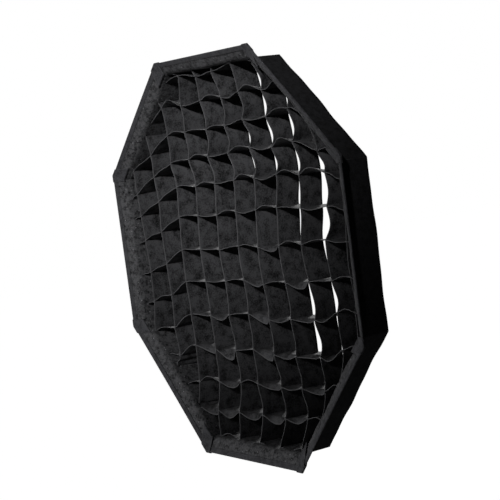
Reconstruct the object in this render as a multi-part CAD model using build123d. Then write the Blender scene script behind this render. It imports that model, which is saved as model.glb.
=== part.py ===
from build123d import *

import os
from math import hypot, radians, sqrt, tan

# Fabric honeycomb grid for an octagonal softbox, with its hook-and-loop border.
#
# The grid stands upright, as it hangs in the mouth of the softbox. The front faces -Y, +Z is up, and
# the origin is the middle of the bounding box: the centre of the octagon, half way through the depth.
# Thirteen row strips and eleven column strips slot into each other like an egg crate. Their ends are
# sewn to a skirt of eight panels, which hangs from a border of eight panels that slopes inwards.
# A binding tape wraps the border's outer edge, hook tape backs it, and a webbing tab caps each corner.
#
# All sizes are in millimetres.

# Driving dimensions
ACROSS_FLATS = 600.0  # outer size of the octagon: 650 mm from corner to corner
DEPTH = 62.0  # front rim to the back edge of the lattice
BAND_WIDTH = 23.4  # border panel, measured along its slope
BAND_FALL = 10.5  # how far the border's inner edge lies behind its outer edge
BAND_RUN = 20.9  # how far the border's inner edge lies inside its outer edge
BAND_THICK = 1.4  # brushed loop fabric, two plies
BINDING_LIP = 6.5  # binding tape showing on each face of the border
BINDING_THICK = 0.8
HOOK_INSET = 7.0  # outer edge of the border to the edge of the hook tape
HOOK_WIDTH = 15.0
HOOK_THICK = 1.2
SKIRT_THICK = 1.0
TAB_WIDTH = 21.0  # webbing tab over each corner
TAB_THICK = 1.0
TAB_GAP = 0.3  # the tab lies loosely over the binding
SEAM_GAP = 0.3  # between neighbouring panels where they meet on a mitre

STRIP_THICK = 1.0
STRIP_DEPTH = 36.0
SLOT_PLAY = 0.3  # free space on each side of a strip in its slot
END_PLAY = 0.3  # end of a strip to the skirt
COLUMNS = 11
COLUMN_PITCH = 52.6
# Height of each row strip where it is level, from the top one down. The rows are sewn by eye, so
# the cells are tallest below the middle.
ROW_HEIGHTS = [273, 229, 189, 147, 106, 61, 10, -41, -92, -145, -195, -242, -276]

# The left ends of the upper rows are sewn low, so they slope down to the skirt.
DROOP_START = -155.0  # the slope begins here
DROOP_SLOPE = 0.33  # of a row at the height of the centre
DROOP_GROWTH = 0.0009  # added to the slope for each millimetre of height
DROOPING_ROWS = 9  # the rest, at the bottom, are level

HALF = ACROSS_FLATS / 2
FRONT = -DEPTH / 2
BACK = DEPTH / 2
STRIP_FRONT = BACK - STRIP_DEPTH
SLOT_MIDDLE = (STRIP_FRONT + BACK) / 2
MITRE = tan(radians(22.5))
SIDES = ["right", "upper_right", "top", "upper_left", "left", "lower_left", "bottom", "lower_right"]
CORNERS = [
    "right_upper",
    "top_right",
    "top_left",
    "left_upper",
    "left_lower",
    "bottom_left",
    "bottom_right",
    "right_lower",
]
SIDE_ANGLE = 360 / len(SIDES)

# Directions in the section of the border: along the slope, and through it towards the back.
slope_length = hypot(BAND_RUN, BAND_FALL)
ALONG = (-BAND_RUN / slope_length, BAND_FALL / slope_length)
THROUGH = (ALONG[1], -ALONG[0])
TAB_OVER = TAB_GAP + TAB_THICK  # from the binding to the tab's outer face
OUTER_R = HALF - (BAND_THICK + BINDING_THICK) * THROUGH[0]
OUTER_Y = FRONT + TAB_OVER * ALONG[1] + (BINDING_THICK + TAB_OVER) * THROUGH[1]


def section_point(along, through):
    """A point of the border's section, as (distance from the centre, Y)."""
    return (
        OUTER_R + along * ALONG[0] + through * THROUGH[0],
        OUTER_Y + along * ALONG[1] + through * THROUGH[1],
    )


def band_back_y(r):
    """Y of the border's back face at a distance r from the centre."""
    r0, y0 = section_point(0, BAND_THICK)
    return y0 + (r - r0) * ALONG[1] / ALONG[0]


SKIRT_INNER = section_point(BAND_WIDTH, BAND_THICK)[0]
SKIRT_OUTER = SKIRT_INNER + SKIRT_THICK
STRIP_REACH = SKIRT_INNER - END_PLAY


def prism_along_z(points, height):
    """A closed outline of (X, Y) points, extruded by height up and down from Z = 0."""
    face = make_face(Polyline(*[(x, y, 0) for x, y in points], close=True))
    return extrude(face, amount=height, dir=(0, 0, 1), both=True)


def prism_along_y(points, low, high):
    """A closed outline of (X, Z) points, extruded along Y from low to high."""
    face = make_face(Polyline(*[(x, low, z) for x, z in points], close=True))
    return extrude(face, amount=high - low, dir=(0, 1, 0))


def block(low, high):
    """A box between two corners."""
    size = [b - a for a, b in zip(low, high)]
    middle = [(a + b) / 2 for a, b in zip(low, high)]
    return Pos(*middle) * Box(*size)


def side_wedge(gap):
    """The slice of the octagon that belongs to its right-hand side, less half a gap at each mitre."""
    reach = HALF + 10
    lift = gap / 2 / MITRE
    return prism_along_y(
        [(lift, 0), (reach, (reach - lift) * MITRE), (reach, -(reach - lift) * MITRE)],
        FRONT - 5,
        BACK + 5,
    )


def side_panel(section):
    """A section carried along the right-hand side of the octagon and mitred at both ends."""
    return prism_along_z(section, HALF) & side_wedge(SEAM_GAP)


def turned(shape, side):
    """A right-hand piece moved to another side of the octagon."""
    return Rot(0, -SIDE_ANGLE * side, 0) * shape


# Sections of the border, seen along the right-hand side
def band_section():
    start = BINDING_THICK
    return [
        section_point(start, 0),
        section_point(BAND_WIDTH, 0),
        section_point(BAND_WIDTH, BAND_THICK),
        section_point(start, BAND_THICK),
    ]


def wrap_section(inset, lip, thick, front, back):
    """A tape folded over the outer edge, from its front lip round to its back lip."""
    return [
        section_point(lip, front),
        section_point(inset, front),
        section_point(inset, back),
        section_point(lip, back),
        section_point(lip, back - thick),
        section_point(inset + thick, back - thick),
        section_point(inset + thick, front + thick),
        section_point(lip, front + thick),
    ]


def binding_section():
    return wrap_section(0, BINDING_LIP, BINDING_THICK, -BINDING_THICK, BAND_THICK + BINDING_THICK)


def hook_section():
    return [
        section_point(HOOK_INSET, BAND_THICK),
        section_point(HOOK_INSET + HOOK_WIDTH, BAND_THICK),
        section_point(HOOK_INSET + HOOK_WIDTH, BAND_THICK + HOOK_THICK),
        section_point(HOOK_INSET, BAND_THICK + HOOK_THICK),
    ]


def skirt_section():
    return [
        (SKIRT_OUTER, band_back_y(SKIRT_OUTER)),
        (SKIRT_OUTER, BACK),
        (SKIRT_INNER, BACK),
        (SKIRT_INNER, band_back_y(SKIRT_INNER)),
    ]


def tab_section():
    """Webbing over the binding: a lip down the front face, and a short one behind."""
    front = -BINDING_THICK - TAB_OVER
    back = BAND_THICK + BINDING_THICK + TAB_OVER
    return [
        section_point(BAND_WIDTH, front),
        section_point(-TAB_OVER, front),
        section_point(-TAB_OVER, back),
        section_point(BINDING_LIP, back),
        section_point(BINDING_LIP, back - TAB_THICK),
        section_point(-TAB_GAP, back - TAB_THICK),
        section_point(-TAB_GAP, front + TAB_THICK),
        section_point(BAND_WIDTH, front + TAB_THICK),
    ]


def hook_tape():
    """Hook tape is cut square, so it stops short of each mitre."""
    tape = side_panel(hook_section())
    stop = section_point(HOOK_INSET + HOOK_WIDTH, 0)[0] * MITRE - TAB_WIDTH / 2
    return tape & block((0, FRONT - 5, -stop), (HALF + 10, BACK + 5, stop))


def corner_tab():
    """One tab, lying level across the mitre between the right-hand side and the next one up."""
    tape = prism_along_z(tab_section(), HALF)
    lower = tape & side_wedge(0)
    upper = turned(lower, 1)
    middle = HALF * MITRE
    low = (HALF / 2, FRONT - 5, middle - TAB_WIDTH / 2)
    high = (HALF + 60, BACK + 5, middle + TAB_WIDTH / 2)
    return (lower + upper) & block(low, high)


# Lattice
def row_slope(row):
    """How steeply the left end of a row strip climbs to its level part. Rows count down from 0."""
    return DROOP_SLOPE + DROOP_GROWTH * ROW_HEIGHTS[row] if row < DROOPING_ROWS else 0.0


def row_z(row, x):
    """Height of a row strip at x, with its left end sewn low."""
    return ROW_HEIGHTS[row] - row_slope(row) * max(0.0, DROOP_START - x)


def column_x(column):
    return column * COLUMN_PITCH


def octagon(reach):
    """Outline of an octagon, by the distance from its centre to a flat."""
    half_side = reach * MITRE
    corners = [(reach, half_side), (half_side, reach), (-half_side, reach), (-reach, half_side)]
    return corners + [(-x, -z) for x, z in corners]


def inside_octagon(x, z, reach):
    return max(abs(x), abs(z), (abs(x) + abs(z)) / sqrt(2)) < reach


def crossings():
    """Every (row, column) where two strips meet inside the skirt."""
    half = COLUMNS // 2
    return [
        (row, column)
        for row in range(len(ROW_HEIGHTS))
        for column in range(-half, half + 1)
        if inside_octagon(column_x(column), row_z(row, column_x(column)), STRIP_REACH + 2)
    ]


def row_strip(row, room):
    """A row strip, slotted from behind wherever a column strip crosses it."""
    top = STRIP_THICK / 2
    xs = [-HALF, DROOP_START, HALF]
    outline = [(x, row_z(row, x) + top) for x in xs]
    outline += [(x, row_z(row, x) - top) for x in reversed(xs)]
    strip = prism_along_y(outline, STRIP_FRONT, BACK) & room
    gap = STRIP_THICK / 2 + SLOT_PLAY
    for r, column in crossings():
        if r == row:
            x, z = column_x(column), row_z(row, column_x(column))
            strip -= block((x - gap, SLOT_MIDDLE - SLOT_PLAY / 2, z - 5), (x + gap, BACK + 1, z + 5))
    return strip


def column_strip(column, room):
    """A column strip, slotted from the front wherever a row strip crosses it."""
    x = column_x(column)
    side = STRIP_THICK / 2
    strip = block((x - side, STRIP_FRONT, -HALF), (x + side, BACK, HALF)) & room
    for row, c in crossings():
        if c == column:
            slope = row_slope(row) if x < DROOP_START else 0.0
            gap = STRIP_THICK / 2 + SLOT_PLAY + slope * side
            z = row_z(row, x)
            strip -= block((x - 2, STRIP_FRONT - 1, z - gap), (x + 2, SLOT_MIDDLE + SLOT_PLAY / 2, z + gap))
    return strip


def save(shape, name):
    export_step(shape, f"parts/{name}.step")


def main():
    os.makedirs("parts", exist_ok=True)
    band = side_panel(band_section())
    binding = side_panel(binding_section())
    skirt = side_panel(skirt_section())
    hook = hook_tape()
    tab = corner_tab()
    for number, side in enumerate(SIDES):
        save(turned(band, number), f"border_panel_{side}")
        save(turned(hook, number), f"hook_tape_{side}")
        save(turned(skirt, number), f"skirt_panel_{side}")
    # A tab is level at the right and left corners, and upright at the top and bottom ones.
    mirrored_tab = mirror(tab, Plane.XY)
    for quarter in range(4):
        save(turned(tab, 2 * quarter), f"corner_tab_{CORNERS[2 * quarter]}")
        save(turned(mirrored_tab, 2 * quarter), f"corner_tab_{CORNERS[2 * quarter - 1]}")
    # The binding is one tape, stored in four nodes: a long run above and below, and one each side.
    save(turned(binding, 0), "edge_binding_right")
    save(turned(binding, 4), "edge_binding_left")
    save(Compound([turned(binding, n) for n in (1, 2, 3)]), "edge_binding_upper")
    save(Compound([turned(binding, n) for n in (5, 6, 7)]), "edge_binding_lower")

    room = prism_along_y(octagon(STRIP_REACH), STRIP_FRONT - 5, BACK + 5)
    for row in range(len(ROW_HEIGHTS)):
        save(row_strip(row, room), f"row_strip_{row + 1:02d}")
    for number in range(COLUMNS):
        save(column_strip(number - COLUMNS // 2, room), f"column_strip_{number + 1:02d}")


main()
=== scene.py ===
# %% [markdown]
# # A fabric honeycomb grid for an octagonal softbox
#
# The grid is all cloth. Thirteen row strips and eleven column strips are slotted into each other like
# an egg crate, their ends are sewn to a skirt, and the skirt hangs from a border that slopes inwards.
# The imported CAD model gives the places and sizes. This file makes the cloth that is seen.

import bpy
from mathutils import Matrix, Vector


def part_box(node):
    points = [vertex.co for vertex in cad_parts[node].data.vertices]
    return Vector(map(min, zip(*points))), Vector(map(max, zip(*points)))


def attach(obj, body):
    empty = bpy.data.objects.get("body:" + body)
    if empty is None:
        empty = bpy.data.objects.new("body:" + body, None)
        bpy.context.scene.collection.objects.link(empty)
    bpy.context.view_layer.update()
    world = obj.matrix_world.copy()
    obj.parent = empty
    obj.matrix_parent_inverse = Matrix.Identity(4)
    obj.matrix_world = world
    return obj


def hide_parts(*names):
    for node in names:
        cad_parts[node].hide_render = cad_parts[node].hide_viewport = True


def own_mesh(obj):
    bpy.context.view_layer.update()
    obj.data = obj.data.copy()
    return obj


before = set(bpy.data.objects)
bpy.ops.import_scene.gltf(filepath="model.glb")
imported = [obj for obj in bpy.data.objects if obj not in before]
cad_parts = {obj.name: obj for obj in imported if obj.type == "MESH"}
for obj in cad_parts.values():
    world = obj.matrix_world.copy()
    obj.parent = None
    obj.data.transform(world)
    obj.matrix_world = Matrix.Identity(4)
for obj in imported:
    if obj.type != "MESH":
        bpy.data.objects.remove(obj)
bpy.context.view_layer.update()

import math
import random

import bpy
import numpy as np
from mathutils import Matrix, Vector

# %% [markdown]
# ## Camera
#
# The camera stands to the right of the grid and a little above its middle. A long lens keeps the
# octagon's sides nearly parallel. It is rolled a few degrees, so the grid leans to the left.

# %% Camera
camera_data = bpy.data.cameras.new("camera")
camera_data.lens = 101.6
camera_data.sensor_width = 36.0
camera = bpy.data.objects.new("camera", camera_data)
bpy.context.collection.objects.link(camera)
CAMERA_PLACE = Vector((1.719, -1.1335, 0.170))
CAMERA_AIM = Vector((0.0201, 0.0035, 0.0034))
CAMERA_ROLL = math.radians(7.5)
look = (CAMERA_AIM - CAMERA_PLACE).to_track_quat("-Z", "Y").to_matrix().to_4x4()
roll = Matrix.Rotation(-CAMERA_ROLL, 4, "Z")
camera.matrix_world = Matrix.Translation(CAMERA_PLACE) @ look @ roll
bpy.context.scene.camera = camera
print("camera at", [round(v, 3) for v in CAMERA_PLACE])

# %% [markdown]
# ## Colours and nodes
#
# Colours are written as sRGB hex, as a dye chart gives them, and one function turns them to linear
# light. One function adds a node to a material, with its settings and links.


# %% Colour and node helpers
def linear(hex_colour):
    """An sRGB hex colour as linear RGBA."""
    parts = [int(hex_colour[i : i + 2], 16) / 255 for i in (1, 3, 5)]
    light = [c / 12.92 if c <= 0.04045 else ((c + 0.055) / 1.055) ** 2.4 for c in parts]
    return (*light, 1.0)


def add_node(tree, kind, settings=None, **links):
    """Adds a node. settings are its properties; links are input name or number to value or socket."""
    node = tree.nodes.new(kind)
    for key, value in (settings or {}).items():
        setattr(node, key, value)
    for key, value in links.items():
        socket = node.inputs[int(key[1:]) if key[0] == "_" else key.replace("_", " ")]
        if isinstance(value, bpy.types.NodeSocket):
            tree.links.new(value, socket)
        else:
            socket.default_value = value
    return node


# %% [markdown]
# ## Materials
#
# The cloths are taken to be black polyester and nylon, so what tells them apart is their surface. A
# cloth's fibres stand up and catch light at grazing angles, which is what sheen does in the shader.
#
# * Cut nonwoven strip: pressed fibres, flat and cloudy, with a painted highlight along the cut rim.
# * Brushed loop: torn loops that give a deep, grainy pile with caught lint.
# * Woven binding: fine ribs along the tape. Ribbed webbing: heavier ribs across each tab.
# * Knitted backing: the flat, dark reverse of the brushed cloth.
# * Hook tape: rows of moulded hooks, drawn as ribs.
#
# Pattern sizes are in millimetres. Real fibres are far finer than the camera can show, so the grain is
# drawn as coarse as it needs to be to show. Colours are matched to the look of the finished piece.


# %% A cloth material
def cloth_material(name, dark, light, fibre_mm, mottle_mm, sheen, bump_mm, rib_mm=0.0, lint=0.0):
    """Dyed cloth: fine fibres over a broad mottle, a painted highlight on rims and edges, and optional ribs
    and lint.
    """
    material = bpy.data.materials.new(name)
    material.use_nodes = True
    tree = material.node_tree
    shader = tree.nodes["Principled BSDF"]
    shader.inputs["Roughness"].default_value = 0.92
    shader.inputs["IOR"].default_value = 1.53
    shader.inputs["Specular IOR Level"].default_value = 0.18
    shader.inputs["Sheen Weight"].default_value = sheen
    shader.inputs["Sheen Roughness"].default_value = 0.45
    shader.inputs["Sheen Tint"].default_value = linear("#9a9a9c")
    place = add_node(tree, "ShaderNodeTexCoord").outputs["Object"]
    cloth_uv = add_node(tree, "ShaderNodeUVMap", {"uv_map": "cloth"}).outputs["UV"]
    fibres = add_node(
        tree, "ShaderNodeTexNoise", Vector=place, Scale=1000 / fibre_mm / 2, Detail=3.0, Roughness=0.7
    ).outputs["Fac"]
    mottle = add_node(
        tree, "ShaderNodeTexNoise", Vector=place, Scale=1000 / mottle_mm / 2, Detail=4.0, Roughness=0.6
    ).outputs["Fac"]
    grain = add_node(
        tree, "ShaderNodeMath", {"operation": "MULTIPLY_ADD"}, _0=fibres, _1=1.5, _2=-0.8
    ).outputs[0]
    tone = add_node(
        tree,
        "ShaderNodeMath",
        {"operation": "MULTIPLY_ADD", "use_clamp": True},
        _0=mottle,
        _1=1.7,
        _2=grain,
    ).outputs[0]
    stretch = add_node(
        tree, "ShaderNodeMapRange", _0=tone, From_Min=0.4, From_Max=1.0, To_Min=0.0, To_Max=1.0
    ).outputs[0]
    colour = add_node(
        tree, "ShaderNodeMix", {"data_type": "RGBA"}, _0=stretch, _6=linear(dark), _7=linear(light)
    ).outputs[2]
    # Painted highlight: wherever the rim attribute is set, the colour is mixed towards a lighter grey, for
    # light caught on front rims and tape edges.
    rim_highlight = add_node(tree, "ShaderNodeAttribute", {"attribute_name": "rim_highlight"}).outputs["Fac"]
    colour = add_node(
        tree, "ShaderNodeMix", {"data_type": "RGBA"}, _0=rim_highlight, _6=colour, _7=linear("#515153")
    ).outputs[2]
    height = fibres
    if rib_mm:
        wave = add_node(
            tree,
            "ShaderNodeTexWave",
            {"bands_direction": "Y"},
            Vector=cloth_uv,
            Scale=1000 / rib_mm / 20,
            Distortion=0.6,
            Detail=1.0,
        ).outputs["Fac"]
        height = add_node(
            tree, "ShaderNodeMath", {"operation": "MULTIPLY_ADD"}, _0=wave, _1=0.8, _2=fibres
        ).outputs[0]
    if lint:
        specks = add_node(
            tree, "ShaderNodeTexVoronoi", {"feature": "F1"}, Vector=place, Scale=1000 / 9.0
        ).outputs["Distance"]
        speck = add_node(
            tree, "ShaderNodeMath", {"operation": "LESS_THAN"}, _0=specks, _1=lint
        ).outputs[0]
        colour = add_node(
            tree, "ShaderNodeMix", {"data_type": "RGBA"}, _0=speck, _6=colour, _7=linear("#77777a")
        ).outputs[2]
    tree.links.new(colour, shader.inputs["Base Color"])
    bump = add_node(
        tree, "ShaderNodeBump", Strength=1.0, Distance=bump_mm / 1000, Height=height
    ).outputs["Normal"]
    tree.links.new(bump, shader.inputs["Normal"])
    return material


# %% The six cloths
grid_cloth = cloth_material(
    "nonwoven_polyester_cut_strip", "#0c0c0d", "#444446", 1.1, 7.0, 0.05, 0.4
)
loop_cloth = cloth_material(
    "brushed_loop_nylon", "#0e0e0f", "#505052", 1.6, 4.0, 0.1, 1.0, lint=0.11
)
binding_cloth = cloth_material(
    "woven_polyester_binding", "#28282a", "#434346", 0.8, 4.0, 0.25, 0.2, rib_mm=1.2
)
backing_cloth = cloth_material("knitted_nylon_backing", "#121213", "#262628", 0.9, 4.0, 0.02, 0.2)
hook_cloth = cloth_material(
    "moulded_nylon_hook_tape", "#0e0e0f", "#1d1d1f", 0.9, 3.0, 0.05, 0.5, rib_mm=1.8
)
webbing_cloth = cloth_material(
    "ribbed_polypropylene_webbing", "#28282a", "#444447", 1.0, 4.0, 0.2, 0.4, rib_mm=2.0
)
print("materials", len(bpy.data.materials))

# %% [markdown]
# ## The shape of the lattice
#
# The CAD strips are straight. Real strips are limp. Their back edges are stitched and stay level, but
# the front rims arch, sag and flop forwards between the crossings, and every crossing hangs a few
# millimetres away from its place. A cloth simulation can't be told where each fold should fall, so the
# hang of each crossing is written down instead, in whole millimetres. The numbers are fitted to how one
# particular grid hangs. They don't follow from any rule of cloth, and another grid would need its own.

# %% Lattice measures
MM = 0.001
ROWS, COLUMNS = 13, 11
STRIP_THICK = 0.8 * MM
STRIP_DEPTH = 38.5 * MM
RIM_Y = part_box("column_strip_06")[0][1]
BACK_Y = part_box("column_strip_06")[1][1]
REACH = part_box("skirt_panel_right")[0][0]
SIDE_CENTRES = REACH * math.sqrt(2)
DROOP_START = -0.155
CLEAR_OF_SKIRT = 0.3 * MM
DROOPING_ROWS = 9
row_level = [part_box(f"row_strip_{n + 1:02d}")[1][2] - 0.5 * MM for n in range(ROWS)]
column_x = [sum(corner[0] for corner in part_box(f"column_strip_{n + 1:02d}")) / 2 for n in range(COLUMNS)]
print("rims at", round(RIM_Y, 4), "rows", [round(z, 3) for z in row_level])


def row_height(row, x):
    """Height of a row at x before its cloth sags. Row 0 is the top one, and the left ends run downhill."""
    level = row_level[row]
    slope = 0.33 + 0.9 * level if row < DROOPING_ROWS else 0.0
    return level - slope * max(0.0, DROOP_START - x)


def half_width(z):
    """How far the skirt is from the middle at a height, and how high it is at a distance."""
    return min(REACH, SIDE_CENTRES - abs(z))


def settle(x, z):
    """The limp border is a little out of true: it hangs low at top and bottom, and high half way up."""
    return (9 - 16 * (z / 0.3) ** 2 - 1.5 * x / 0.3) * MM


def settled(point):
    x, y, z = point
    return (x, y, z + settle(x, z))


def inside_skirt(x, z):
    """x, kept just inside the settled skirt at height z."""
    limit = half_width(z - settle(x, z)) - CLEAR_OF_SKIRT
    return max(-limit, min(limit, x))


def rim_y(x, z):
    """Depth of the front rims. The lattice is a shallow dish: nothing holds its middle forward."""
    from_centre = min(1.0, math.hypot(x, z) / 0.285)
    return RIM_Y - 6 * MM + 13 * MM * (1 - from_centre**4)


# %% [markdown]
# ### How far each crossing hangs from its place
#
# Each line is one row strip: its left end, the eleven columns, and its right end. LIFT is upwards and
# SWAY is to the right. Ends and columns that a short row doesn't reach are never read.

# %% Hang of the crossings, in millimetres
LIFT = (
    (-9, 0, 0, 0, -3, -8, -6, 0, -3, 0, 0, 0, 0),
    (-4, 0, -2, -1, -3, -1, -1, 3, 0, 4, 0, 0, 9),
    (-4, 0, -4, -4, -4, -4, -1, 4, 2, 9, 0, 0, 2),
    (0, 0, 0, -6, -3, -1, 0, 4, 1, 6, -10, 0, -8),
    (4, 2, 0, -2, -4, -1, 1, 1, 4, 1, 1, -9, -4),
    (3, 3, -5, -5, -4, -4, 0, 0, 2, 0, 1, -5, -6),
    (-2, -3, -9, -4, -4, -5, -1, -3, 0, 1, 6, 4, 2),
    (-4, -4, -9, -4, -4, -2, 0, -6, -3, 0, 3, 8, 4),
    (-8, -7, -13, -4, -6, -3, 1, -6, -4, -3, 11, 13, 8),
    (-16, -16, -18, 0, -4, -4, 0, -4, -4, -1, 13, 20, 22),
    (-12, 0, 0, -8, -4, -1, 0, -1, 1, 3, 10, 0, 14),
    (0, 0, 0, 0, -1, 0, 1, 1, 7, 9, 0, 0, 10),
    (-3, 0, 0, 0, -8, -8, -6, -7, -4, 0, 0, 0, -2),
)
SWAY = (
    (0, 0, 0, 0, 15, 5, -4, -2, 0, 0, 0, 0, 0),
    (0, 0, 4, 5, 2, 2, 5, 0, 7, 6, 0, 0, 0),
    (0, 0, 2, 3, -3, 3, 0, -3, 5, 10, 8, 0, 0),
    (0, 0, -2, -3, -5, -5, -2, 3, 6, 7, 12, 0, 0),
    (0, 0, 0, 3, 3, 3, 3, 3, 7, 10, 20, 6, 0),
    (0, 2, -6, -3, -3, -3, -3, -4, -3, 3, 13, 4, 0),
    (0, 6, -4, -8, -8, -8, -8, -10, -10, -7, 0, 0, 0),
    (0, 6, 0, -8, -5, -3, -5, -8, -5, 0, 3, 0, 0),
    (0, 0, 0, -5, -3, -5, -5, -5, -3, 3, 8, 2, 0),
    (0, 0, 10, 0, 0, 3, -3, -3, 0, 8, 13, 0, 0),
    (0, 0, 0, 3, 3, 8, 0, 8, 8, 13, 0, 0, 0),
    (0, 0, 0, 0, -3, 0, 8, 14, 18, 0, 0, 0, 0),
    (0, 0, 0, 0, 0, 5, 8, 5, -3, 0, 0, 0, 0),
)


def hang(row, owner):
    """(sway, lift) of a crossing in metres. owner is a column, -1 for the left end, 11 for the right."""
    row = max(0, min(ROWS - 1, row))
    return SWAY[row][owner + 1] * MM, LIFT[row][owner + 1] * MM


# %% [markdown]
# ### Arches, sags and flaps between the crossings
#
# ARCH is how far a rim rises or sags in each bay, from the left end to the right end. The upper rows are
# slack and arch upwards, and the lower ones sag. In a few bays the front of the strip has flopped
# over, and FLAP says how far it hangs down and where along the bay its tip is.

# %% Arches and flaps, in millimetres
ARCH = (
    (5, 0, 0, 0, 1, -1, 0, 9, 1, 0, 0, 0),
    (1, 0, 0, 10, -2, 7, -4, 8, -3, 0, 0, 0),
    (3, 0, 2, 4, 3, 3, -2, -3, 6, 1, 0, 0),
    (4, 3, 3, 2, 5, -2, 7, -3, 9, 1, 2, 0),
    (2, 2, 3, 2, 4, -2, 8, -4, 6, 8, 1, 3),
    (1, 2, 3, 3, -2, 4, -3, 6, 1, -4, 2, 1),
    (1, 2, 3, -1, -1, 1, 4, -2, 5, 3, -1, 2),
    (1, 3, 1, 1, -1, 1, -2, 4, -3, 2, 3, 1),
    (4, 6, 3, 3, -3, 1, -2, -1, 1, -6, 4, 2),
    (3, 2, 4, -1, -3, 1, -3, -1, 2, -8, 2, 0),
    (4, 0, 0, 9, -5, 4, -2, -3, -2, 3, 0, 3),
    (-4, 0, 0, 0, -5, -4, -5, -3, 2, 0, 0, 3),
    (3, 0, 0, 0, 7, -1, -5, -3, -2, 0, 0, 2),
)
FLAP = {
    (6, 7): (7, 0.65),
    (7, 6): (5, 0.6),
    (7, 8): (8, 0.6),
    (7, 9): (3, 0.6),
    (8, 3): (4, 0.6),
    (8, 4): (5, 0.6),
    (8, 6): (9, 0.7),
    (8, 7): (4, 0.5),
    (8, 8): (5, 0.7),
    (9, 3): (9, 0.8),
    (9, 4): (15, 0.55),
    (9, 6): (11, 0.7),
    (9, 7): (6, 0.5),
    (9, 8): (5, 0.7),
    (10, 4): (6, 0.6),
    (10, 6): (6, 0.8),
    (10, 8): (6, 0.8),
    (11, 0): (8, 0.8),
    (11, 4): (8, 0.4),
    (11, 5): (7, 0.6),
    (11, 6): (7, 0.6),
    (11, 7): (6, 0.5),
    (12, 0): (13, 0.9),
    (12, 6): (6, 0.6),
}
FLAP_DEPTH = 0.26


def bump_at(t, tip):
    """A smooth hump along a bay: 0 at both ends and 1 at its tip."""
    t = t / tip / 2 if t < tip else 1 - (1 - t) / (1 - tip) / 2
    return math.sin(math.pi * t) ** 1.4


def between(a, b, t):
    """A smooth step from a to b."""
    return a + (b - a) * t * t * (3 - 2 * t)


print("deepest flap", max(depth for depth, _ in FLAP.values()), "mm")

# %% Build a strip of cloth
DEPTH_STEPS = (0.0, 0.02, 0.06, 0.12, 0.19, 0.26, 0.36, 0.5, 0.65, 0.8, 0.92, 1.0)
STEPS_PER_BAY = 14
# How far back from the rim the half-strength painted highlight reaches, as a share of the strip's depth.
RIM_HIGHLIGHT_WIDTH = 0.03


def cloth_from_grid(name, points, rim_highlight, material, thick, uv_size):
    """A sheet of cloth from a grid of points, with its thickness, painted rim highlight and cloth UVs in
    metres.
    """
    across, along = points.shape[:2]
    faces = [
        (i * along + j, i * along + j + 1, (i + 1) * along + j + 1, (i + 1) * along + j)
        for i in range(across - 1)
        for j in range(along - 1)
    ]
    mesh = bpy.data.meshes.new(name)
    mesh.from_pydata(points.reshape(-1, 3).tolist(), [], faces)
    mesh.attributes.new("rim_highlight", "FLOAT", "POINT").data.foreach_set("value", rim_highlight.ravel().astype(np.float32))
    layer = mesh.uv_layers.new(name="cloth")
    corner = np.zeros(len(mesh.loops), np.int32)
    mesh.loops.foreach_get("vertex_index", corner)
    u = (corner % along) / (along - 1) * uv_size[0]
    v = (corner // along) / (across - 1) * uv_size[1]
    layer.data.foreach_set("uv", np.column_stack([u, v]).ravel().astype(np.float32))
    mesh.materials.append(material)
    mesh.shade_smooth()
    piece = bpy.data.objects.new(name, mesh)
    bpy.context.collection.objects.link(piece)
    solidify = piece.modifiers.new("thickness", "SOLIDIFY")
    solidify.thickness = thick
    solidify.offset = 0
    return piece


def strip_samples(stops):
    """Samples along a strip: (bay, share of the bay, place)."""
    samples = []
    for bay in range(len(stops) - 1):
        for i in range(STEPS_PER_BAY + (bay == len(stops) - 2)):
            t = i / STEPS_PER_BAY
            samples.append((bay, t, stops[bay] + (stops[bay + 1] - stops[bay]) * t))
    return samples


def rim_highlight_share(depth):
    """Share of painted highlight at a depth across the strip: full on the cut rim, half just behind it."""
    return 1.0 if depth == 0 else 0.5 if depth < RIM_HIGHLIGHT_WIDTH else 0.0


def length_of(line):
    return float(np.linalg.norm(np.diff(line, axis=0), axis=1).sum())


# %% [markdown]
# ## Row strips
#
# Each row is one strip, from skirt to skirt. It passes every column at a crossing. Only its front
# rim arches: the back edge runs straight from crossing to crossing, so the arch opens like an eyelid
# and shows the dark underside.

# %% Row strips
FULL_BAY = 0.0526
row_ripple = random.Random(65)


def row_end(row, side):
    """Where a row meets the skirt, at side -1 or 1."""
    lift = hang(row, -1 if side < 0 else COLUMNS)[1]
    x = side * half_width(row_level[row])
    for _ in range(12):
        z = row_height(row, x) + lift
        x = 0.5 * (x + side * half_width(z - settle(x, z)))
    return x


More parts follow.
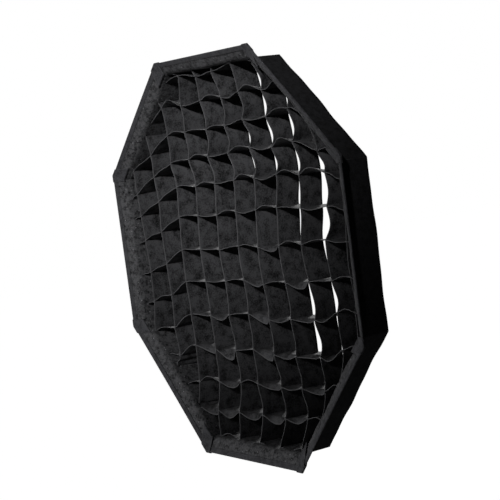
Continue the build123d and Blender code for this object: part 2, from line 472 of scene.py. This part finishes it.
def row_strip(row):
    left, right = row_end(row, -1), row_end(row, 1)
    inside = [c for c in range(COLUMNS) if left + 8 * MM < column_x[c] < right - 8 * MM]
    stops = [left] + [column_x[c] for c in inside] + [right]
    owners = [-1] + inside + [COLUMNS]
    phase = row_ripple.uniform(0, 6.28)
    points, rim_highlight = [], []
    for depth in DEPTH_STEPS:
        line = []
        for bay, t, x in strip_samples(stops):
            first, second = owners[bay], owners[bay + 1]
            (sway_a, lift_a), (sway_b, lift_b) = hang(row, first), hang(row, second)
            size = min(1.0, (stops[bay + 1] - stops[bay]) / FULL_BAY)
            front = (1 - depth) ** 1.6
            arch = ARCH[row][first + 1] * MM * size * bump_at(t, 0.42) * front
            wave = 0.5 * MM * math.sin(x / 0.011 + phase) * front
            z = row_height(row, x) + between(lift_a, lift_b, t) + arch + wave
            y = rim_y(x, z) + STRIP_DEPTH * depth
            drop, tip = FLAP.get((row, first + 1), (0, 0.5))
            if depth < FLAP_DEPTH and drop:
                fallen = drop * MM * bump_at(t, tip) * (1 - depth / FLAP_DEPTH)
                z -= fallen
                y += 0.55 * fallen
            line.append((inside_skirt(x + between(sway_a, sway_b, t), z), y, z))
        points.append(line)
        # Painted highlight along the strip's front rim.
        rim_highlight.append([rim_highlight_share(depth)] * len(line))
    points = np.array(points)
    length = length_of(points[-1])
    name = f"row_cloth_{row + 1:02d}"
    uv_size = (length, STRIP_DEPTH)
    piece = cloth_from_grid(name, points, np.array(rim_highlight), grid_cloth, STRIP_THICK, uv_size)
    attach(piece, "left_side")
    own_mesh(piece)
    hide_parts(f"row_strip_{row + 1:02d}")
    return piece


rows = [row_strip(row) for row in range(ROWS)]
print("row strips", len(rows))

# %% [markdown]
# ## Column strips
#
# The columns follow the same crossings. Their slack gathers low in each cell, so a rim swings out to
# the right and hooks back to the next crossing. The slack grows towards the right-hand side, and light
# shows through where a rim swings clear of the strip behind it.

# %% Column strips
BOW = (1, 8, 10, 9, 2, 1, -2, 3, 3, 3, 4, 2)
EXTRA_BOW = {
    (0, 7): 7,
    (2, 9): -8,
    (3, 9): -4,
    (4, 9): 4,
    (5, 9): 9,
    (7, 8): 3,
    (7, 9): 3,
    (8, 8): 5,
    (8, 9): -5,
}
BACK_LEAN = (3, 3, 3, 3, 4, 4, 4, 2, 0, 8, 4)  # how far right each back edge lies, left column first
LOW_LEAN = 5  # how much further right the back edges lie in the lowest cells
LOW_CELLS = -0.14  # the extra lean starts below this height


def column_strip(column):
    x0 = column_x[column]
    top = half_width(x0)
    inside = [row for row in range(ROWS) if abs(row_height(row, x0)) < top - 5 * MM]
    stops = [top] + [row_height(row, x0) for row in inside] + [-top]
    owners = [inside[0] - 1] + inside + [inside[-1] + 1]
    slack = max(0.1, min(1.0, (column - 1) / 5))
    points, rim_highlight = [], []
    for depth in DEPTH_STEPS:
        line = []
        for bay, t, z in strip_samples(stops):
            upper, lower = owners[bay], owners[bay + 1]
            sway_a, lift_a = hang(upper, column)
            sway_b, lift_b = hang(lower, column)
            if bay == 0:
                sway_a, lift_a = 0.0, settle(x0, top)
            if bay == len(stops) - 2:
                sway_b, lift_b = 0.0, settle(x0, -top)
            size = min(1.0, (stops[bay] - stops[bay + 1]) / 0.042)
            upper = max(0, min(ROWS - 2, upper))
            bow = BOW[upper] * slack + EXTRA_BOW.get((upper, column), 0)
            low = math.sin(math.pi * t**1.35)
            how_low = min(1.0, max(0.0, (LOW_CELLS - z) / 0.05))
            lean = (BACK_LEAN[column] + LOW_LEAN * how_low) * MM * depth
            x = x0 + between(sway_a, sway_b, t) + bow * MM * low * size * (1 - 0.9 * depth) + lean
            height = z + between(lift_a, lift_b, t)
            line.append((inside_skirt(x, height), rim_y(x0, height) + STRIP_DEPTH * depth, height))
        points.append(line)
        # Painted highlight along the strip's front rim.
        rim_highlight.append([rim_highlight_share(depth)] * len(line))
    points = np.array(points)
    length = length_of(points[-1])
    name = f"column_cloth_{column + 1:02d}"
    uv_size = (length, STRIP_DEPTH)
    piece = cloth_from_grid(name, points, np.array(rim_highlight), grid_cloth, STRIP_THICK, uv_size)
    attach(piece, f"column_{column + 1:02d}")
    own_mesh(piece)
    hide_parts(f"column_strip_{column + 1:02d}")
    return piece


columns = [column_strip(column) for column in range(COLUMNS)]
print("column strips", len(columns))

# %% [markdown]
# ## Border and skirt
#
# On each of the eight sides one brushed cloth slopes in from the outer edge, turns a soft corner and
# runs straight back as the skirt. The eight are mitred where they meet. The profile is drawn once, as
# distance from the centre and depth, and is carried along each side.

# %% Profile of the border
SIDES = ("right", "upper_right", "top", "upper_left", "left", "lower_left", "bottom", "lower_right")
BAND_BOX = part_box("border_panel_right")
OUTER_R = BAND_BOX[1][0]
BAND_Y, FOLD_Y = BAND_BOX[0][1], BAND_BOX[1][1]
MITRE = math.tan(math.radians(22.5))
FOLD = 6 * MM  # the cloth turns from the slope to the skirt over this length


def border_profile():
    """Points from the outer edge, down the slope, round a soft fold and back along the skirt."""
    skirt_r = REACH + 0.5 * MM
    outer, corner, back = Vector((OUTER_R, BAND_Y)), Vector((skirt_r, FOLD_Y)), Vector((skirt_r, BACK_Y))
    start = corner.lerp(outer, FOLD / (outer - corner).length)
    end = corner + Vector((0, FOLD))
    slope = [outer.lerp(start, i / 12) for i in range(12)]
    fold = [start.lerp(corner, t).lerp(corner.lerp(end, t), t) for t in (i / 12 for i in range(12))]
    skirt = [end.lerp(back, i / 10) for i in range(11)]
    return slope + fold + skirt


profile = border_profile()
print("border profile", len(profile), "points")


def side_direction(side):
    """Outward direction of a side, and the direction along it, in the XZ plane."""
    angle = math.radians(45 * side)
    out = Vector((math.cos(angle), 0, math.sin(angle)))
    along = Vector((-math.sin(angle), 0, math.cos(angle)))
    return out, along


def place_side(piece, side, *nodes, slot):
    """Rides a border piece on the body its side belongs to, and hides the CAD parts it replaces."""
    body = "right_side" if side == "right" else "left_side"
    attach(piece, body)
    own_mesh(piece)
    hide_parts(*nodes)


# %% Border and skirt pieces
SIDE_STEPS = 160
BACKING_SIDE = 1
border_ripple = random.Random(8)


def skirt_piece(number, name):
    out, along = side_direction(number)
    phase = [border_ripple.uniform(0, 6.28) for _ in range(4)]
    points = []
    for n, (r, y) in enumerate(profile):
        line = []
        for i in range(SIDE_STEPS + 1):
            s = (i / SIDE_STEPS * 2 - 1) * r * MITRE
            inner = min(1.0, n / 16) * (1 - abs(2 * i / SIDE_STEPS - 1) ** 6)
            wave = math.sin(s / 0.021 + phase[0]) + 0.6 * math.sin(s / 0.0093 + phase[1])
            dr = 0.7 * MM * inner * wave
            dy = 0.5 * MM * inner * math.sin(s / 0.034 + phase[2])
            line.append(settled(out * (r + dr) + along * s + Vector((0, y + dy, 0))))
        points.append(line)
    points = np.array(points)
    flat = (round(2 * OUTER_R * MITRE, 3), 0.066)
    piece = cloth_from_grid(
        f"skirt_cloth_{name}", points, np.zeros(points.shape[:2]), loop_cloth, 1.3 * MM, flat
    )
    piece.data.materials.append(backing_cloth)
    piece.modifiers["thickness"].material_offset = BACKING_SIDE
    place_side(piece, name, f"border_panel_{name}", f"skirt_panel_{name}", slot="border_fabric")
    return piece


skirts = [skirt_piece(number, name) for number, name in enumerate(SIDES)]

# %% [markdown]
# ## Binding tape, hook tape and corner tabs
#
# The border's raw outer edge is closed by a tape folded over it. A hook tape inside holds the grid to the
# softbox. A short piece of webbing is folded over each corner, where the mitred seams end and pull
# hardest. The folded tapes share one profile: in front of the edge, round it, and back behind it.

# %% Wrapped tapes
BAND_RUN, BAND_FALL = 20.9, 10.5  # the band goes this far inwards, and this far back, in millimetres
SLOPE = math.atan2(BAND_FALL, BAND_RUN)
SLOPE_IN = (-math.cos(SLOPE), math.sin(SLOPE))
SLOPE_BACK = (SLOPE_IN[1], -SLOPE_IN[0])
BINDING_REACH = 6.5 * MM  # how far the tapes lie on each side of the edge
BINDING_STAND = 1.0 * MM
TAB_REACH = 21 * MM
TAB_STAND = 2.1 * MM
TAB_WIDTH = 21 * MM


def wrap_profile(reach_front, reach_back, stand, edge):
    """A tape folded over the outer edge of the border, as (distance from the centre, depth) points."""
    points = []
    centre = (edge[0], edge[1])
    for i in range(9):
        t = 1 - i / 8
        points.append((
            centre[0] + SLOPE_IN[0] * reach_front * t - SLOPE_BACK[0] * stand,
            centre[1] + SLOPE_IN[1] * reach_front * t - SLOPE_BACK[1] * stand,
        ))
    for i in range(1, 10):
        angle = math.pi * i / 10
        back, away = -math.cos(angle), math.sin(angle)
        points.append((
            centre[0] + (SLOPE_BACK[0] * back - SLOPE_IN[0] * away) * stand,
            centre[1] + (SLOPE_BACK[1] * back - SLOPE_IN[1] * away) * stand,
        ))
    for i in range(7):
        t = i / 6
        points.append((
            centre[0] + SLOPE_IN[0] * reach_back * t + SLOPE_BACK[0] * stand,
            centre[1] + SLOPE_IN[1] * reach_back * t + SLOPE_BACK[1] * stand,
        ))
    return points


EDGE_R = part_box("edge_binding_right")[1][0] - 1.6 * MM
EDGE_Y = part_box("edge_binding_right")[0][1] + 1.7 * MM


def binding_piece(number, name):
    out, along = side_direction(number)
    wrapped = wrap_profile(BINDING_REACH, BINDING_REACH, BINDING_STAND, (EDGE_R, EDGE_Y))
    points = []
    for r, y in wrapped:
        line = []
        for i in range(SIDE_STEPS + 1):
            s = (i / SIDE_STEPS * 2 - 1) * r * MITRE
            line.append(settled(out * r + along * s + Vector((0, y, 0))))
        points.append(line)
    points = np.array(points)
    rim_highlight = np.zeros(points.shape[:2])
    # Painted highlight along the tape's front edge.
    rim_highlight[0, :] = 0.6
    flat = (round(2 * EDGE_R * MITRE, 3), 0.0175)
    piece = cloth_from_grid(f"binding_{name}", points, rim_highlight, binding_cloth, 0.7 * MM, flat)
    node = "upper" if "upper" in name or name == "top" else "lower"
    node = name if name in ("right", "left") else node
    place_side(piece, name, f"edge_binding_{node}", slot="binding_tape")
    return piece


bindings = [binding_piece(number, name) for number, name in enumerate(SIDES)]


def hook_piece(number, name):
    out, along = side_direction(number)
    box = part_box("hook_tape_right")
    half = box[1][2]
    inner, outer = box[0][0] + 3 * MM, box[1][0] - 0.5 * MM
    front, back = box[0][1] + 0.6 * MM, box[1][1] - 0.6 * MM
    points = []
    for v in range(7):
        r = outer + (inner - outer) * v / 6
        y = front + (back - front) * v / 6
        line = []
        for i in range(81):
            s = half * (2 * i / 80 - 1)
            line.append(settled(out * r + along * s + Vector((0, y, 0))))
        points.append(line)
    points = np.array(points)
    flat = (round(2 * half, 3), 0.015)
    piece = cloth_from_grid(f"hook_{name}", points, np.zeros(points.shape[:2]), hook_cloth, 1.2 * MM, flat)
    place_side(piece, name, f"hook_tape_{name}", slot="hook_tape")
    return piece


hooks = [hook_piece(number, name) for number, name in enumerate(SIDES)]

# %% Corner tabs
CORNERS = (
    "right_upper",
    "top_right",
    "top_left",
    "left_upper",
    "left_lower",
    "bottom_left",
    "bottom_right",
    "right_lower",
)


def tab_piece(number, name):
    """Webbing folded over the outer edge at a corner. It follows the border round the bend."""
    wrapped = wrap_profile(TAB_REACH, BINDING_REACH, TAB_STAND, (EDGE_R, EDGE_Y))
    quarter = math.radians(90 * (((number + 1) // 2) % 4))
    upper = number % 2 == 0
    points = []
    for r, y in wrapped:
        line = []
        for i in range(25):
            s = (i / 24 - 0.5) * TAB_WIDTH
            z = EDGE_R * MITRE + s
            corner_z = r * MITRE
            x = r if z <= corner_z else r - (z - corner_z)
            if not upper:
                z = -z
            turned_x = x * math.cos(quarter) - z * math.sin(quarter)
            turned_z = x * math.sin(quarter) + z * math.cos(quarter)
            line.append(settled((turned_x, y, turned_z)))
        points.append(line)
    points = np.array(points)
    rim_highlight = np.zeros(points.shape[:2])
    # Painted highlight along both side edges of the tab.
    rim_highlight[:, 0] = rim_highlight[:, -1] = 0.5
    flat = (0.021, 0.039)
    piece = cloth_from_grid(f"tab_{name}", points, rim_highlight, webbing_cloth, 1.0 * MM, flat)
    side = "right" if name.startswith("right") else "left"
    place_side(piece, side, f"corner_tab_{name}", slot="webbing")
    return piece


tabs = [tab_piece(number, name) for number, name in enumerate(CORNERS)]
print("border pieces", len(skirts) + len(bindings) + len(hooks) + len(tabs))

# %% [markdown]
# ## Studio
#
# A pale floor and surround look white to the camera but hardly light the grid. The key is a small, narrow
# light in front on the right, raised a little, so each row throws a wedge of shadow into its cell, and
# the light falls away to the lower right. A low fill lifts the bottom border. A weak light behind
# shows the back, which the key never reaches.

# %% Studio
ROOM_FILL = 0.003  # the light that reaches the grid from all round, as a share of white
KEY_AIM = Vector((-0.09, 0.0, 0.14))


def only_seen_bright(tree, surface, out, seen, light):
    """Shows the camera one brightness, and gives the object's light another."""
    path = add_node(tree, "ShaderNodeLightPath").outputs["Is Camera Ray"]
    strength = add_node(
        tree, "ShaderNodeMapRange", _0=path, To_Min=light, To_Max=seen
    ).outputs[0]
    tree.links.new(strength, surface.inputs[out])


world = bpy.data.worlds.new("studio")
bpy.context.scene.world = world
world.use_nodes = True
background = world.node_tree.nodes["Background"]
background.inputs["Color"].default_value = (1, 1, 1, 1)
only_seen_bright(world.node_tree, background, "Strength", 1.0, ROOM_FILL)
bpy.context.scene.view_settings.view_transform = "Standard"

floor_mesh = bpy.data.meshes.new("floor")
floor_mesh.from_pydata([(-9, -9, -0.9), (9, -9, -0.9), (9, 9, -0.9), (-9, 9, -0.9)], [], [(0, 1, 2, 3)])
floor = bpy.data.objects.new("floor", floor_mesh)
bpy.context.collection.objects.link(floor)
floor_paint = bpy.data.materials.new("matt_white_floor_paint")
floor_paint.use_nodes = True
floor_shader = floor_paint.node_tree.nodes["Principled BSDF"]
floor_shader.inputs["Base Color"].default_value = linear("#dcdcdc")
floor_shader.inputs["Roughness"].default_value = 0.9
floor_shader.inputs["Emission Color"].default_value = (1, 1, 1, 1)
only_seen_bright(floor_paint.node_tree, floor_shader, "Emission Strength", 1.0, 0.0)
floor_mesh.materials.append(floor_paint)


def soft_light(name, azimuth, elevation, distance, aim, size, power, spread):
    """A round soft light. Azimuth is from straight in front, towards the right."""
    data = bpy.data.lights.new(name, "AREA")
    data.shape = "DISK"
    data.size = size
    data.energy = power
    data.spread = math.radians(spread)
    light = bpy.data.objects.new(name, data)
    bpy.context.collection.objects.link(light)
    a, e = math.radians(azimuth), math.radians(elevation)
    away = Vector((math.sin(a) * math.cos(e), -math.cos(a) * math.cos(e), math.sin(e)))
    light.location = aim + away * distance
    light.rotation_mode = "QUATERNION"
    light.rotation_quaternion = (-away).to_track_quat("-Z", "Y")
    return light


soft_light("key", 42, 21, 4.0, KEY_AIM, 0.22, 0.64, 11)
soft_light("low_fill", -20, 4, 3.0, Vector((0.05, 0, -0.25)), 0.8, 1.4, 25)
soft_light("from_behind", -138, 12, 4.0, Vector((0, 0, 0)), 1.0, 9.0, 40)
print("lights", len(bpy.data.lights))
